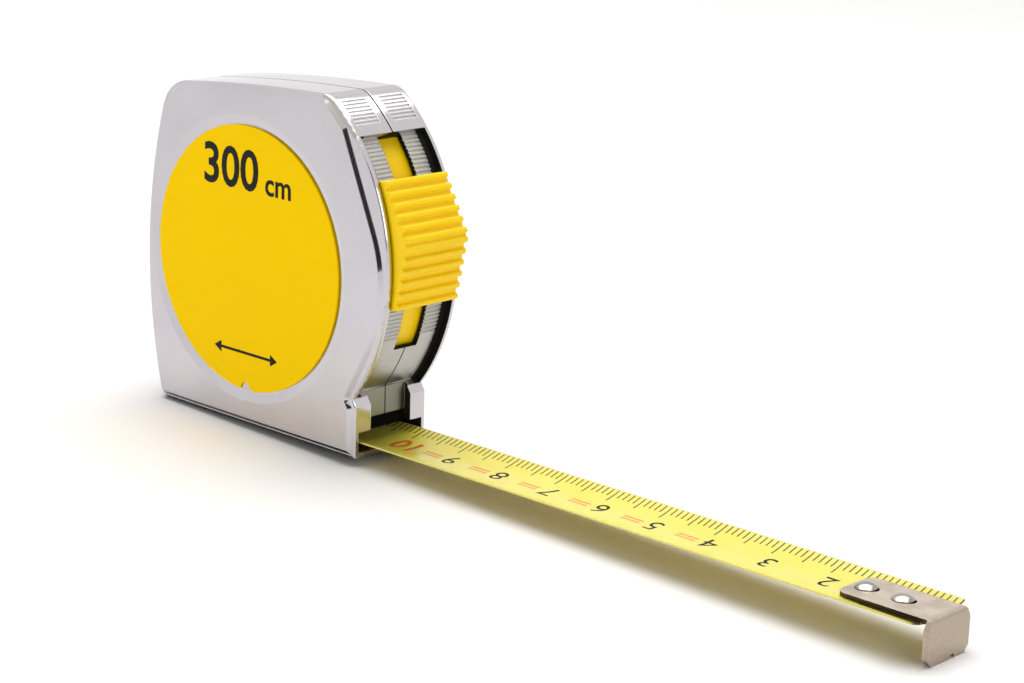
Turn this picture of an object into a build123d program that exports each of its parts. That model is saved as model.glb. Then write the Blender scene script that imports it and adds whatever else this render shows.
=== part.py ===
from build123d import *
import math
import os

# Pocket tape measure. Millimetres. X runs out along the blade, Y away from the label side and Z up.
# The origin is on the flat base, under the spool's axis. The blade is drawn out as photographed.

# Case outline, seen from the label side
base_rear_x = 21.5          # spool axis back to the rear end of the flat base
rear_bulge_x = 24.8         # furthest point of the rounded rear
rear_bulge_z = 23.6
top_rear_x = 19.7           # corner where the rear meets the top, before rounding
top_rear_z = 52.6
top_front_z = 55.3          # height of the corner where the top meets the front
top_crown = 0.5             # rise of the top above a straight line
front_radius = 31.5         # arc of the front, which the lock slides along
lock_pivot_x = 0.0          # centre of that arc
lock_pivot_z = 29.5
notch_z = 9.3               # lower end of the front arc
cheek_top_z = 8.2           # top of the cheeks beside the mouth
cheek_step = 0.73           # front of the cheeks ahead of the front arc's lower end
base_rear_round = 2.0
top_rear_round = 6.5
top_front_round = 3.5

# Case sides and walls
case_half_width = 7.6       # seam to the flat side of a half
side_round = 0.5            # rounded edge around each side
face_raise = 0.6            # raised face that carries the label
face_inset = 0.6            # raised face in from the outline
face_bevel_deg = 45.0       # slope of the raised face's edge from upright
face_nose_x = 33.1          # front corner of the raised face, before rounding
face_nose_z = 26.5
face_upper_lean = 0.444     # how far the face's upper front edge leans back for each mm of rise
face_lower_lean = 0.55      # the same for its lower front edge, going down
face_nose_round = 21.0
side_wall = 0.8
rim_wall = 1.4
seam_width = 0.24
seam_depth = 0.25

# Label
label_radius = 21.2
label_thickness = 0.25
label_clearance = 0.2
label_recess = 0.45
label_ring = 1.5            # sloped ring around the recess
label_notch_radius = 1.2
spool_axis_z = 26.9         # spool and label share this centre height

# Front channel, slot and ribs
channel_half_width = 6.7
channel_top_deg = 40.0
channel_end_deg = -39.5
channel_depth = 1.1         # front arc in to the channel's floor
channel_wall = 0.8          # thinnest part of the channel's floor
slot_half_width = 2.4
slot_end_deg = -24.3
rail_rib_pitch = 0.7        # ribs beside the slot
panel_rib_pitch = 0.7       # ribs above the slot
rib_groove = 0.32
rib_depth = 0.16
rail_rib_half_width = 5.6
rail_rib_start_deg = -20.0
panel_rib_inner = 1.4
panel_rib_outer = 6.3
panel_frame_deg = 4.0       # plain band between the slot and the panel's first groove
panel_rib_end_deg = 54.0

# Mouth
sill = 0.8                  # base wall under the blade at the mouth
lintel_z = 5.6
cheek_gap_half_width = 4.2  # opening between the cheeks
blade_slot_half_width = 6.7
blade_slot_z = 4.0          # top of the wide slot that the blade runs in
passage_back_x = 2.0
lintel_setback = 1.3        # front of the lintel behind the front of the cheeks
lintel_wall = 2.6           # cavity's arc forward to the back of the lintel
liner_thickness = 2.0
liner_inset = 0.2           # liner short of the lintel at its front and back
liner_side_gap = 0.1

# Lock
lock_gap = 0.3              # between the lock's curved faces and the case
strip_thickness = 1.2
strip_half_width = 4.2
strip_top_deg = 41.2
neck_top_deg = 18.0
neck_end_deg = -2.0
neck_lap = 0.5              # neck into the button, so that the two join
button_top_deg = 26.8
button_end_deg = -9.6
button_peak_deg = 9.0
button_end_height = 2.1     # underside of the button to the top of its ribs at both ends
button_peak_height = 4.3    # the same at the peak
button_rib_count = 12
button_rib_depth = 0.6
brake_pad_deg = 6.0
brake_pad_half_width = 3.5
brake_pad_thickness = 2.0
brake_pad_step = 0.1        # pad's outer face inside the strip's
brake_pad_gap = 0.36        # pad's lower end above the blade

# Spool
post_radius = 3.0
post_fit = 0.06             # running clearance around the post
spigot_radius = 2.0
spigot_length = 0.5
pin_fit = 0.05              # clearance around spigots, screws and rivets
wear_disc_radius = 19.6
wear_disc_thickness = 0.25
wear_disc_bore_gap = 0.6
drum_radius = 11.6
drum_wall = 1.2
drum_half_width = 6.1
drum_web = 1.0
drum_cover_thickness = 0.9
coil_half_turns = 16
coil_thickness = 0.3
coil_pitch = 0.75
mainspring_half_turns = 13
mainspring_thickness = 0.3
mainspring_pitch = 0.85
mainspring_half_width = 4.9

# Blade and hook
blade_width = 12.7          # along its curve
blade_thickness = 0.25
blade_curve_radius = 18.2   # hollow of the blade across its width
blade_floor_z = 1.15        # underside of the blade at its middle
blade_bend_radius = 15.0    # bend just inside the mouth
blade_bend_start = 0.6      # behind the front of the mouth
blade_lead = 9.0            # flat part next to the coil
blade_lead_lap = 0.1        # flat part over the hollow part, so that the two join
blade_end_gap = 0.1         # blade's end short of the lip when the hook is pushed in
coil_exit_gap = 0.5
hook_reach = 101.7          # front of the mouth to the inner face of the hook's lip
hook_thickness = 0.65
hook_plate_length = 14.2
hook_plate_half_width = 4.0
hook_plate_round = 1.4
hook_lip_thickness = 0.9    # equals the hook's play, so that the zero stays true
hook_lip_half_width = 4.7
hook_lip_drop = 3.7         # lip below the base plane
hook_lip_corner = 1.0
hook_shoulder_drop = 1.4    # lip widens over this height under the plate
hook_notch_radius = 0.6
hook_notch_y = 1.0          # notch off the middle of the lip
hook_bend_round = 0.6
hook_seat = 0.05            # hook plate above the blade's edges and under the rivet heads
rivet_radius = 1.0
rivet_head_radius = 1.6
rivet_head_height = 0.65
rivet_tail_radius = 1.6
rivet_tail_height = 0.25
rivet_front = 6.4           # front rivet behind the lip's inner face
rivet_pitch = 5.8

# Cuts
cut_past = 1.0              # how far a cut runs past the surface that it opens

# Screws
screw_places = ((-17.5, 4.5), (-15.8, 48.3), (10.5, 50.3))
screw_boss_radius = 1.9
screw_shank_radius = 0.9
screw_head_radius = 1.6
screw_head_height = 1.0
screw_head_sink = 0.4       # top of the head below the raised face
screw_head_gap = 0.2
screw_grip = 4.5            # length of shank in the label half
screw_tip_gap = 0.5         # depth of a blind hole beyond the screw's tip
drive_slot = 0.5
drive_depth = 0.5
post_screw_head_radius = 2.2
post_screw_head_height = 0.5
post_screw_sink = 0.1       # top of the post screw's head below the label
post_screw_grip = 6.0

# Sizes that follow from the values above
front_low_x = lock_pivot_x + math.sqrt(front_radius**2 - (lock_pivot_z - notch_z) ** 2)
mouth_x = front_low_x + cheek_step
lintel_x = mouth_x - lintel_setback
face_y = case_half_width + face_raise
recess_y = face_y - label_recess
cavity_y = case_half_width - side_wall
channel_radius = front_radius - channel_depth
strip_outer_radius = channel_radius - channel_wall - lock_gap
cavity_front_radius = strip_outer_radius + lock_gap
strip_inner_radius = strip_outer_radius - strip_thickness
cavity_at_lintel = math.sqrt(cavity_front_radius**2 - (lock_pivot_z - lintel_z) ** 2)
lintel_back_x = lock_pivot_x + cavity_at_lintel + lintel_wall
blade_half_angle = blade_width / 2 / blade_curve_radius
blade_hollow_z = blade_floor_z + blade_thickness
lip_x = mouth_x + hook_reach
hook_play = hook_lip_thickness
blade_end_x = lip_x - hook_play - blade_end_gap
rivet_xs = (lip_x - rivet_front, lip_x - rivet_front - rivet_pitch)
coil_inner_radius = drum_radius + coil_thickness / 2
coil_outer_radius = coil_inner_radius + (coil_half_turns * coil_pitch + coil_thickness) / 2
blade_half_width = blade_width / 2
head_seat_y = face_y - screw_head_sink - screw_head_height
post_seat_y = recess_y - post_screw_head_height - post_screw_sink


def prism(face, y_low, y_high):
    """Solid of a face drawn in X and Z, between two values of Y."""
    return extrude(Plane.XZ.offset(-y_high) * face, amount=y_high - y_low)


def around_y(x, z, radius, y_low, y_high):
    """Round bar along Y."""
    return prism(Pos(x, z) * Circle(radius), y_low, y_high)


def on_front(degrees, radius):
    """Point in X and Z at an angle and distance from the lock's centre."""
    angle = math.radians(degrees)
    return (lock_pivot_x + radius * math.cos(angle), lock_pivot_z + radius * math.sin(angle))


def ring_sector(inner, outer, low_deg, high_deg):
    """Face between two arcs about the lock's centre."""
    middle = (low_deg + high_deg) / 2
    edges = [
        ThreePointArc(on_front(low_deg, outer), on_front(middle, outer), on_front(high_deg, outer)),
        Line(on_front(high_deg, outer), on_front(high_deg, inner)),
        ThreePointArc(on_front(high_deg, inner), on_front(middle, inner), on_front(low_deg, inner)),
        Line(on_front(low_deg, inner), on_front(low_deg, outer)),
    ]
    return make_face(edges)


def corner_near(face, x, z):
    """The face's vertex nearest a point."""
    return min(face.vertices(), key=lambda vertex: math.hypot(vertex.X - x, vertex.Y - z))


def x_on_front(z):
    """X of the front arc at a height."""
    return lock_pivot_x + math.sqrt(front_radius**2 - (z - lock_pivot_z) ** 2)


def draw_outline():
    """Outline of the case, with its three rounded corners."""
    rear_low = (-base_rear_x, 0)
    rear_high = (-top_rear_x, top_rear_z)
    front_high = (x_on_front(top_front_z), top_front_z)
    front_low = (front_low_x, notch_z)
    crown = ((rear_high[0] + front_high[0]) / 2, (rear_high[1] + front_high[1]) / 2 + top_crown)
    face = make_face([
        ThreePointArc(rear_low, (-rear_bulge_x, rear_bulge_z), rear_high),
        ThreePointArc(rear_high, crown, front_high),
        ThreePointArc(front_high, on_front(0, front_radius), front_low),
        Line(front_low, (mouth_x, cheek_top_z)),
        Line((mouth_x, cheek_top_z), (mouth_x, 0)),
        Line((mouth_x, 0), rear_low),
    ])
    face = fillet(corner_near(face, *rear_low), base_rear_round)
    face = fillet(corner_near(face, *rear_high), top_rear_round)
    return fillet(corner_near(face, *front_high), top_front_round)


def draw_raised_face(outline):
    """Raised side face: the outline drawn in, with a front edge of two straight runs and a rounded nose."""
    far = 3 * front_radius
    nose = (face_nose_x, face_nose_z)
    rise = far - face_nose_z
    low = (face_nose_x - face_lower_lean * (face_nose_z - notch_z), notch_z)
    limit = make_face(Polyline(
        (-far, far),
        (-far, -far),
        (far, -far),
        (far, notch_z),
        low,
        nose,
        (face_nose_x - face_upper_lean * rise, far),
        close=True,
    ))
    limit = fillet(corner_near(limit, *nose), face_nose_round)
    return offset(outline, amount=-face_inset) & limit


def make_bare_half(outline):
    """Label half of the case before its screw holes, on the negative Y side of the seam."""
    half = prism(outline, -case_half_width, 0)
    side_edges = half.faces().sort_by(Axis.Y)[0].edges()
    half = fillet(side_edges, side_round)
    raised = Plane.XZ.offset(case_half_width) * draw_raised_face(outline)
    half += extrude(raised, amount=face_raise, taper=face_bevel_deg)
    recess_floor = label_radius + label_clearance
    dish = Cone(recess_floor, recess_floor + label_ring, label_recess)
    half -= Pos(0, -recess_y - label_recess / 2, spool_axis_z) * Rot(X=90) * dish

    reach = Pos(lock_pivot_x, lock_pivot_z) * Circle(cavity_front_radius)
    inside = offset(outline, amount=-rim_wall) & reach
    half -= prism(inside, -cavity_y, 0)
    half -= cut_mouth()
    half -= cut_front()
    base_strip = Rectangle(4 * base_rear_x, 2 * rim_wall)
    seam = outline - offset(outline, amount=-seam_depth) - base_strip
    half -= prism(seam, -seam_width / 2, 0)
    return half


def cut_mouth():
    """Way of the blade from the coil to the mouth, for the label half."""
    ahead = mouth_x + cut_past
    inner_top = lock_pivot_z - math.sqrt(cavity_front_radius**2 - (lintel_back_x - lock_pivot_x) ** 2)
    way = make_face(Polyline(
        (passage_back_x, sill),
        (ahead, sill),
        (ahead, blade_slot_z),
        (lintel_x, blade_slot_z),
        (lintel_back_x, inner_top),
        (passage_back_x, inner_top),
        close=True,
    ))
    wide = prism(way, -blade_slot_half_width, 0)
    between = make_face(Polyline(
        (lintel_back_x, blade_slot_z - cut_past),
        (ahead, blade_slot_z - cut_past),
        (ahead, notch_z + cut_past),
        (lintel_x, notch_z + cut_past),
        (lintel_x, lintel_z),
        (lintel_back_x, lintel_z),
        close=True,
    ))
    return wide + prism(between, -cheek_gap_half_width, 0)


def cut_front():
    """Channel, slot and fine ribs of the front, for the label half."""
    beyond = front_radius + cut_past
    cut = prism(ring_sector(channel_radius, beyond, channel_end_deg, channel_top_deg), -channel_half_width, 0)
    cut += prism(ring_sector(strip_inner_radius, beyond, slot_end_deg, channel_top_deg), -slot_half_width, 0)
    rail_step = math.degrees(rail_rib_pitch / channel_radius)
    rail_count = int((channel_top_deg - rail_rib_start_deg) / rail_step)
    panel_step = math.degrees(panel_rib_pitch / front_radius)
    panel_start = channel_top_deg + panel_frame_deg
    panel_count = int((panel_rib_end_deg - panel_start) / panel_step)
    grooves = []
    for index in range(rail_count):
        angle = rail_rib_start_deg + index * rail_step
        grooves.append(prism(groove_at(angle, channel_radius), -rail_rib_half_width, -slot_half_width))
    for index in range(panel_count):
        angle = panel_start + index * panel_step
        grooves.append(prism(groove_at(angle, front_radius), -panel_rib_outer, -panel_rib_inner))
    return cut + grooves


def groove_at(degrees, surface):
    """Cross-section of one rib groove, sunk into a surface of the front."""
    x, z = on_front(degrees, surface)
    return Pos(x, z) * Rot(Z=degrees) * Rectangle(2 * rib_depth, rib_groove)


def screw_bosses(outline):
    """Posts for the case screws, from the side wall to the seam, for the label half."""
    inside = offset(outline, amount=-rim_wall / 2)
    posts = [Pos(x, z) * Circle(screw_boss_radius) for x, z in screw_places]
    return prism(inside & (posts[0] + posts[1:]), -cavity_y, 0)


def make_halves():
    """Both halves of the case: the label half with blind holes, the other with the screw heads' seats."""
    outline = draw_outline()
    near = make_bare_half(outline) + screw_bosses(outline)
    far = mirror(near, about=Plane.XZ)
    for x, z in screw_places:
        near -= around_y(x, z, screw_shank_radius + pin_fit, -screw_grip - screw_tip_gap, 0)
        far -= around_y(x, z, screw_shank_radius + 2 * pin_fit, 0, face_y)
        far -= around_y(x, z, screw_head_radius + screw_head_gap, head_seat_y, face_y + cut_past)
    near -= around_y(0, spool_axis_z, spigot_radius + pin_fit, -cavity_y - spigot_length, 0)
    far -= around_y(0, spool_axis_z, screw_shank_radius + 2 * pin_fit, 0, recess_y)
    far -= around_y(0, spool_axis_z, post_screw_head_radius + screw_head_gap, post_seat_y, recess_y)
    return near, far


def make_label(side):
    """Round label on one side, with the small notch at its lower edge. Side is -1 or 1."""
    face = Pos(0, spool_axis_z) * Circle(label_radius)
    face -= Pos(0, spool_axis_z - label_radius) * Circle(label_notch_radius)
    low, high = sorted((side * recess_y, side * (recess_y + label_thickness)))
    return prism(face, low, high)


def make_screw(x, z, head_radius, seat, head_height, tip):
    """One cross-head screw along Y, its head at seat and beyond, its tip inside the case."""
    screw = around_y(x, z, screw_shank_radius, tip, seat)
    screw += around_y(x, z, head_radius, seat, seat + head_height)
    arm = 1.3 * head_radius
    depth = min(drive_depth, 0.6 * head_height)
    for length, height in ((arm, drive_slot), (drive_slot, arm)):
        screw -= prism(Pos(x, z) * Rectangle(length, height), seat + head_height - depth, seat + head_height)
    return screw


def make_spiral(start_radius, half_turns, pitch, thickness, start_deg):
    """Face of a wound ribbon, made of half turns about two centres, which take turns."""
    outer_edges = []
    inner_edges = []
    for index in range(half_turns):
        shift = pitch / 2 if index % 2 else 0
        start = math.radians(start_deg + 180 * index)
        first = math.radians(start_deg)
        centre = (shift * math.cos(first), spool_axis_z + shift * math.sin(first))
        radius = start_radius + index * pitch / 2
        for edges, size in ((outer_edges, radius + thickness / 2), (inner_edges, radius - thickness / 2)):
            points = [
                (centre[0] + size * math.cos(start + turn), centre[1] + size * math.sin(start + turn))
                for turn in (0, math.pi / 2, math.pi)
            ]
            edges.append(ThreePointArc(*points))
    caps = [
        Line(outer_edges[0] @ 0, inner_edges[0] @ 0),
        Line(outer_edges[-1] @ 1, inner_edges[-1] @ 1),
    ]
    return make_face(outer_edges + inner_edges + caps)


def least_gap(start_radius, half_turns, pitch, thickness):
    """Smallest clear distance between one turn of a ribbon and the next, measured on points."""
    points = []
    for index in range(half_turns):
        shift = pitch / 2 if index % 2 else 0
        radius = start_radius + index * pitch / 2
        for step in range(36):
            angle = math.pi * (index + step / 36)
            points.append((shift + radius * math.cos(angle), radius * math.sin(angle), index * 36 + step))
    clear = min(
        math.hypot(one[0] - two[0], one[1] - two[1])
        for one in points
        for two in points
        if two[2] - one[2] >= 54
    )
    return clear - thickness


def blade_way():
    """Lean of the blade where it leaves the coil, and the ends of its bend, in X and Z."""
    wrap = coil_outer_radius + coil_exit_gap + blade_thickness / 2
    level = blade_floor_z + blade_thickness / 2
    bend_x = mouth_x - blade_bend_start
    across = bend_x
    up = spool_axis_z - level - blade_bend_radius
    reach = math.hypot(across, up)
    lean = math.acos((wrap - blade_bend_radius) / reach) - math.atan2(across, up)
    bend_top = (
        bend_x - blade_bend_radius * math.sin(lean),
        level + blade_bend_radius * (1 - math.cos(lean)),
    )
    leave = (-wrap * math.sin(lean), spool_axis_z - wrap * math.cos(lean))
    return lean, (bend_x, level), bend_top, leave


def make_blade():
    """Blade from the coil to the hook: flat beside the coil, then hollow across, with its two rivet holes."""
    lean, bend_low, bend_top, leave = blade_way()
    back = (-math.cos(lean), math.sin(lean))
    run = math.hypot(leave[0] - bend_top[0], leave[1] - bend_top[1])
    hollow_run = run - blade_lead
    hollow_start = (bend_top[0] + back[0] * hollow_run, bend_top[1] + back[1] * hollow_run)
    halfway = lean / 2
    bend_middle = (
        bend_low[0] - blade_bend_radius * math.sin(halfway),
        bend_low[1] + blade_bend_radius * (1 - math.cos(halfway)),
    )
    way = [
        Line(to_space(hollow_start), to_space(bend_top)),
        ThreePointArc(to_space(bend_top), to_space(bend_middle), to_space(bend_low)),
        Line(to_space(bend_low), to_space((blade_end_x, bend_low[1]))),
    ]
    middle_radius = blade_curve_radius + blade_thickness / 2
    section = draw_hollow_section(middle_radius)
    plane = Plane(origin=to_space(hollow_start), x_dir=(0, 1, 0), z_dir=(math.cos(lean), 0, -math.sin(lean)))
    blade = sweep(plane * section, path=Wire(way))
    lead_centre = (hollow_start[0] + back[0] * blade_lead / 2, hollow_start[1] + back[1] * blade_lead / 2)
    lead_face = Rectangle(blade_lead + 2 * blade_lead_lap, blade_thickness)
    lead_face = Pos(*lead_centre) * Rot(Z=-math.degrees(lean)) * lead_face
    blade += prism(lead_face, -blade_half_width, blade_half_width)
    for x in rivet_xs:
        blade -= Pos(x, 0, blade_floor_z) * Cylinder(rivet_radius + pin_fit, 2 * (blade_thickness + cut_past))
    return blade


def to_space(point):
    """Point in X and Z as a point in space, on the middle plane."""
    return (point[0], 0, point[1])


def draw_hollow_section(middle_radius):
    """Thin curved band, hollow side up, its middle line through the origin."""
    bands = []
    for radius in (middle_radius - blade_thickness / 2, middle_radius + blade_thickness / 2):
        ends = []
        for turn in (-blade_half_angle, 0, blade_half_angle):
            ends.append((radius * math.sin(turn), middle_radius - radius * math.cos(turn)))
        bands.append(ThreePointArc(*ends))
    return make_face([bands[0], bands[1], Line(bands[0] @ 0, bands[1] @ 0), Line(bands[0] @ 1, bands[1] @ 1)])


def hook_plate_z():
    """Underside of the hook's plate, which rests across the hollow of the blade."""
    drop = math.sqrt(blade_curve_radius**2 - hook_plate_half_width**2)
    return blade_hollow_z + blade_curve_radius - drop + hook_seat


def make_hook():
    """Hook: a plate with two slots for the rivets, and a lip bent down at its front."""
    low = hook_plate_z()
    top = low + hook_thickness
    outer_x = lip_x + hook_lip_thickness
    plate_middle = lip_x - hook_plate_length / 2
    plate = Pos(plate_middle, 0, low + hook_thickness / 2) * Box(
        hook_plate_length, 2 * hook_plate_half_width, hook_thickness
    )
    plate = fillet(plate.edges().filter_by(Axis.Z).group_by(Axis.X)[0], hook_plate_round)
    shoulder = top - hook_shoulder_drop
    lip_face = make_face(Polyline(
        (hook_plate_half_width, top),
        (hook_lip_half_width, shoulder),
        (hook_lip_half_width, hook_lip_corner - hook_lip_drop),
        (hook_lip_half_width - hook_lip_corner, -hook_lip_drop),
        (hook_lip_corner - hook_lip_half_width, -hook_lip_drop),
        (-hook_lip_half_width, hook_lip_corner - hook_lip_drop),
        (-hook_lip_half_width, shoulder),
        (-hook_plate_half_width, top),
        close=True,
    ))
    lip_face -= Pos(hook_notch_y, -hook_lip_drop) * Circle(hook_notch_radius)
    lip = extrude(Plane.YZ.offset(lip_x) * lip_face, amount=hook_lip_thickness)
    hook = plate + lip
    bend = hook.edges().filter_by(Axis.Y).sort_by(lambda edge: edge.center().X + edge.center().Z)[-1]
    hook = fillet(bend, min(hook_bend_round, 0.9 * hook_lip_thickness))
    width = 2 * (rivet_radius + pin_fit)
    depth = hook_thickness + cut_past
    slot = extrude(SlotOverall(width + hook_play, width), depth, both=True)
    for x in rivet_xs:
        hook -= Pos(x + hook_play / 2, 0, low) * slot
    return hook


def make_rivet(x):
    """One hook rivet: domed head above the plate, shank, and flat tail under the blade."""
    plate_top = hook_plate_z() + hook_thickness
    seat = plate_top + hook_seat
    dome = (rivet_head_radius**2 + rivet_head_height**2) / (2 * rivet_head_height)
    profile = make_face([
        Line((0, blade_floor_z - rivet_tail_height), (rivet_tail_radius, blade_floor_z - rivet_tail_height)),
        Line((rivet_tail_radius, blade_floor_z - rivet_tail_height), (rivet_tail_radius, blade_floor_z)),
        Line((rivet_tail_radius, blade_floor_z), (rivet_radius, blade_floor_z)),
        Line((rivet_radius, blade_floor_z), (rivet_radius, seat)),
        Line((rivet_radius, seat), (rivet_head_radius, seat)),
        RadiusArc((rivet_head_radius, seat), (0, seat + rivet_head_height), -dome),
        Line((0, seat + rivet_head_height), (0, blade_floor_z - rivet_tail_height)),
    ])
    return Pos(x, 0, 0) * revolve(Plane.XZ * profile, Axis.Z)


def make_button():
    """Thumb button: a peaked, ribbed pad with a neck that reaches through the slot to the strip."""
    ridge = []
    half_count = button_rib_count // 2
    foot_radius = channel_radius + lock_gap
    low_end = on_front(button_end_deg, foot_radius + button_end_height)
    peak = on_front(button_peak_deg, foot_radius + button_peak_height)
    high_end = on_front(button_top_deg, foot_radius + button_end_height)
    runs = ((low_end, peak), (peak, high_end))
    for start, end in runs:
        run_x = (end[0] - start[0]) / half_count
        run_z = (end[1] - start[1]) / half_count
        length = math.hypot(run_x, run_z)
        inward = (-run_z / length * button_rib_depth, run_x / length * button_rib_depth)
        for index in range(half_count):
            for share, depth in ((0.18, 1), (0.3, 0), (0.7, 0), (0.82, 1)):
                x = start[0] + (index + share) * run_x + depth * inward[0]
                z = start[1] + (index + share) * run_z + depth * inward[1]
                ridge.append((x, z))
    foot_low = on_front(button_end_deg, foot_radius)
    foot_high = on_front(button_top_deg, foot_radius)
    foot_middle = on_front((button_end_deg + button_top_deg) / 2, foot_radius)
    body = make_face([
        Polyline(foot_low, *ridge, foot_high),
        ThreePointArc(foot_high, foot_middle, foot_low),
    ])
    half_width = channel_half_width - lock_gap
    button = prism(body, -half_width, half_width)
    neck = ring_sector(strip_outer_radius, foot_radius + neck_lap, neck_end_deg, neck_top_deg)
    neck_half_width = slot_half_width - lock_gap
    return button + prism(neck, -neck_half_width, neck_half_width)


def pad_end_deg():
    """Angle of the pad's lower end, where the pad's outer arc comes down to its gap above the blade."""
    lean, _, bend_top, _ = blade_way()
    lean_deg = math.degrees(lean)
    upward = (math.sin(lean), math.cos(lean))
    edge_rise = blade_curve_radius - math.sqrt(blade_curve_radius**2 - brake_pad_half_width**2)
    over_blade = blade_thickness / 2 + edge_rise + brake_pad_gap
    above_bend = (lock_pivot_x - bend_top[0], lock_pivot_z - bend_top[1])
    pivot_height = above_bend[0] * upward[0] + above_bend[1] * upward[1] - over_blade
    return -90 - lean_deg + math.degrees(math.acos(pivot_height / (strip_outer_radius - brake_pad_step)))


def make_strip():
    """Curved strip behind the slot, which carries the button and the brake pad."""
    low_deg = pad_end_deg() + brake_pad_deg
    face = ring_sector(strip_inner_radius, strip_outer_radius, low_deg, strip_top_deg)
    return prism(face, -strip_half_width, strip_half_width)


def make_brake_pad():
    """Pad on the strip's lower end, which bears on the blade when the lock is down."""
    outer = strip_outer_radius - brake_pad_step
    low_deg = pad_end_deg()
    face = ring_sector(outer - brake_pad_thickness, outer, low_deg, low_deg + brake_pad_deg)
    return prism(face, -brake_pad_half_width, brake_pad_half_width)


def make_drum():
    """Drum that the blade winds on, closed on the label side."""
    drum = around_y(0, spool_axis_z, drum_radius, -drum_half_width, drum_half_width)
    drum -= around_y(0, spool_axis_z, drum_radius - drum_wall, drum_web - drum_half_width, drum_half_width)
    return drum - around_y(0, spool_axis_z, post_radius + post_fit, -drum_half_width, drum_half_width)


def make_drum_cover():
    """Disc that closes the drum over the mainspring."""
    low = drum_half_width - drum_cover_thickness
    cover = around_y(0, spool_axis_z, drum_radius - drum_wall - pin_fit, low, drum_half_width)
    return cover - around_y(0, spool_axis_z, post_radius + post_fit, low, drum_half_width)


def make_post():
    """Fixed post that the drum turns on, held by a spigot in one half and a screw in the other."""
    post = around_y(0, spool_axis_z, post_radius, -cavity_y, cavity_y)
    post += around_y(0, spool_axis_z, spigot_radius, -cavity_y - spigot_length, -cavity_y)
    hole_radius = screw_shank_radius + pin_fit
    return post - around_y(0, spool_axis_z, hole_radius, cavity_y - post_screw_grip, cavity_y)


def make_wear_disc(side):
    """Thin disc between the coil and one side wall. Side is -1 or 1."""
    low, high = sorted((side * cavity_y, side * (cavity_y - wear_disc_thickness)))
    disc = around_y(0, spool_axis_z, wear_disc_radius, low, high)
    return disc - around_y(0, spool_axis_z, post_radius + wear_disc_bore_gap, low, high)


def make_liner():
    """Dark liner under the lintel of the mouth."""
    length = lintel_x - lintel_back_x - 2 * liner_inset
    half_width = cheek_gap_half_width - liner_side_gap
    middle = Pos((lintel_x + lintel_back_x) / 2, 0, lintel_z - liner_thickness / 2)
    return middle * Box(length, 2 * half_width, liner_thickness)


def make_mainspring():
    """Spiral spring inside the drum, its outer end against the drum's wall."""
    outer = drum_radius - drum_wall - mainspring_thickness / 2
    start = outer - mainspring_half_turns * mainspring_pitch / 2
    face = make_spiral(start, mainspring_half_turns, mainspring_pitch, mainspring_thickness, 0)
    gap = least_gap(start, mainspring_half_turns, mainspring_pitch, mainspring_thickness)
    print(f"mainspring: least gap between turns {gap:.2f} mm")
    return prism(face, -mainspring_half_width, mainspring_half_width)


def make_coil():
    """Blade wound on the drum, its outer end where the blade leaves for the mouth."""
    lean = math.degrees(blade_way()[0])
    start_deg = -90 - lean - 180 * coil_half_turns
    face = make_spiral(coil_inner_radius, coil_half_turns, coil_pitch, coil_thickness, start_deg)
    gap = least_gap(coil_inner_radius, coil_half_turns, coil_pitch, coil_thickness)
    print(f"coil: least gap between turns {gap:.2f} mm")
    return prism(face, -blade_half_width, blade_half_width)


case_near, case_far = make_halves()
case_screws = [
    make_screw(x, z, screw_head_radius, head_seat_y, screw_head_height, -screw_grip) for x, z in screw_places
]
post_screw = make_screw(
    0,
    spool_axis_z,
    post_screw_head_radius,
    post_seat_y,
    post_screw_head_height,
    cavity_y - post_screw_grip + screw_tip_gap,
)
nodes = {
    "case_near": case_near,
    "case_far": case_far,
    "label_near": make_label(-1),
    "label_far": make_label(1),
    "case_screws": Compound(children=case_screws),
    "centre_post": make_post(),
    "post_screw": post_screw,
    "wear_disc_near": make_wear_disc(-1),
    "wear_disc_far": make_wear_disc(1),
    "mouth_liner": make_liner(),
    "drum": make_drum(),
    "drum_cover": make_drum_cover(),
    "mainspring": make_mainspring(),
    "coil": make_coil(),
    "blade": make_blade(),
    "hook_rivets": Compound(children=[make_rivet(x) for x in rivet_xs]),
    "hook": make_hook(),
    "thumb_button": make_button(),
    "lock_strip": make_strip(),
    "brake_pad": make_brake_pad(),
}

os.makedirs("parts", exist_ok=True)
for name, solid in nodes.items():
    export_step(solid, f"parts/{name}.step")
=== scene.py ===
"""Looks of a pocket tape measure: finishes, printed scale, soft studio and camera around its CAD frame."""

import logging
import math
from dataclasses import dataclass
from enum import Enum

import bmesh
import bpy
from mathutils import Matrix, Vector


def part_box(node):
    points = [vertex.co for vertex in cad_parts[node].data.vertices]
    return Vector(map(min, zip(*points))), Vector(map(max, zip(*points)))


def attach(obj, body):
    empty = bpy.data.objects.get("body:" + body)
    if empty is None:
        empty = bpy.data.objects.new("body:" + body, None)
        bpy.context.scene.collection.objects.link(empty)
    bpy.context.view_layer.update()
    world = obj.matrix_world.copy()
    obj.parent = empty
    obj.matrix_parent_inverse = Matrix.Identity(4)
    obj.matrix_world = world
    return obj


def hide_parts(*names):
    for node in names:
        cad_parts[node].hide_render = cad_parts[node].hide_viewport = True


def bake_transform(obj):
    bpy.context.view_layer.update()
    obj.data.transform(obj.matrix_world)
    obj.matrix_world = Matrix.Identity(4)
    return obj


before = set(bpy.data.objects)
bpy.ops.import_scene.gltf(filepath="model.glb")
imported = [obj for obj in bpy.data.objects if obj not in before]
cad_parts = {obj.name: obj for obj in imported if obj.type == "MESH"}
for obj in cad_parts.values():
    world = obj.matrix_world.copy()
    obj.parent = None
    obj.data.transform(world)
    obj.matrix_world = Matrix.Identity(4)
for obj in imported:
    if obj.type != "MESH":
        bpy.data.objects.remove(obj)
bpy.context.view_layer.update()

MM = 0.001
LOG = logging.getLogger("tape_measure")

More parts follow.
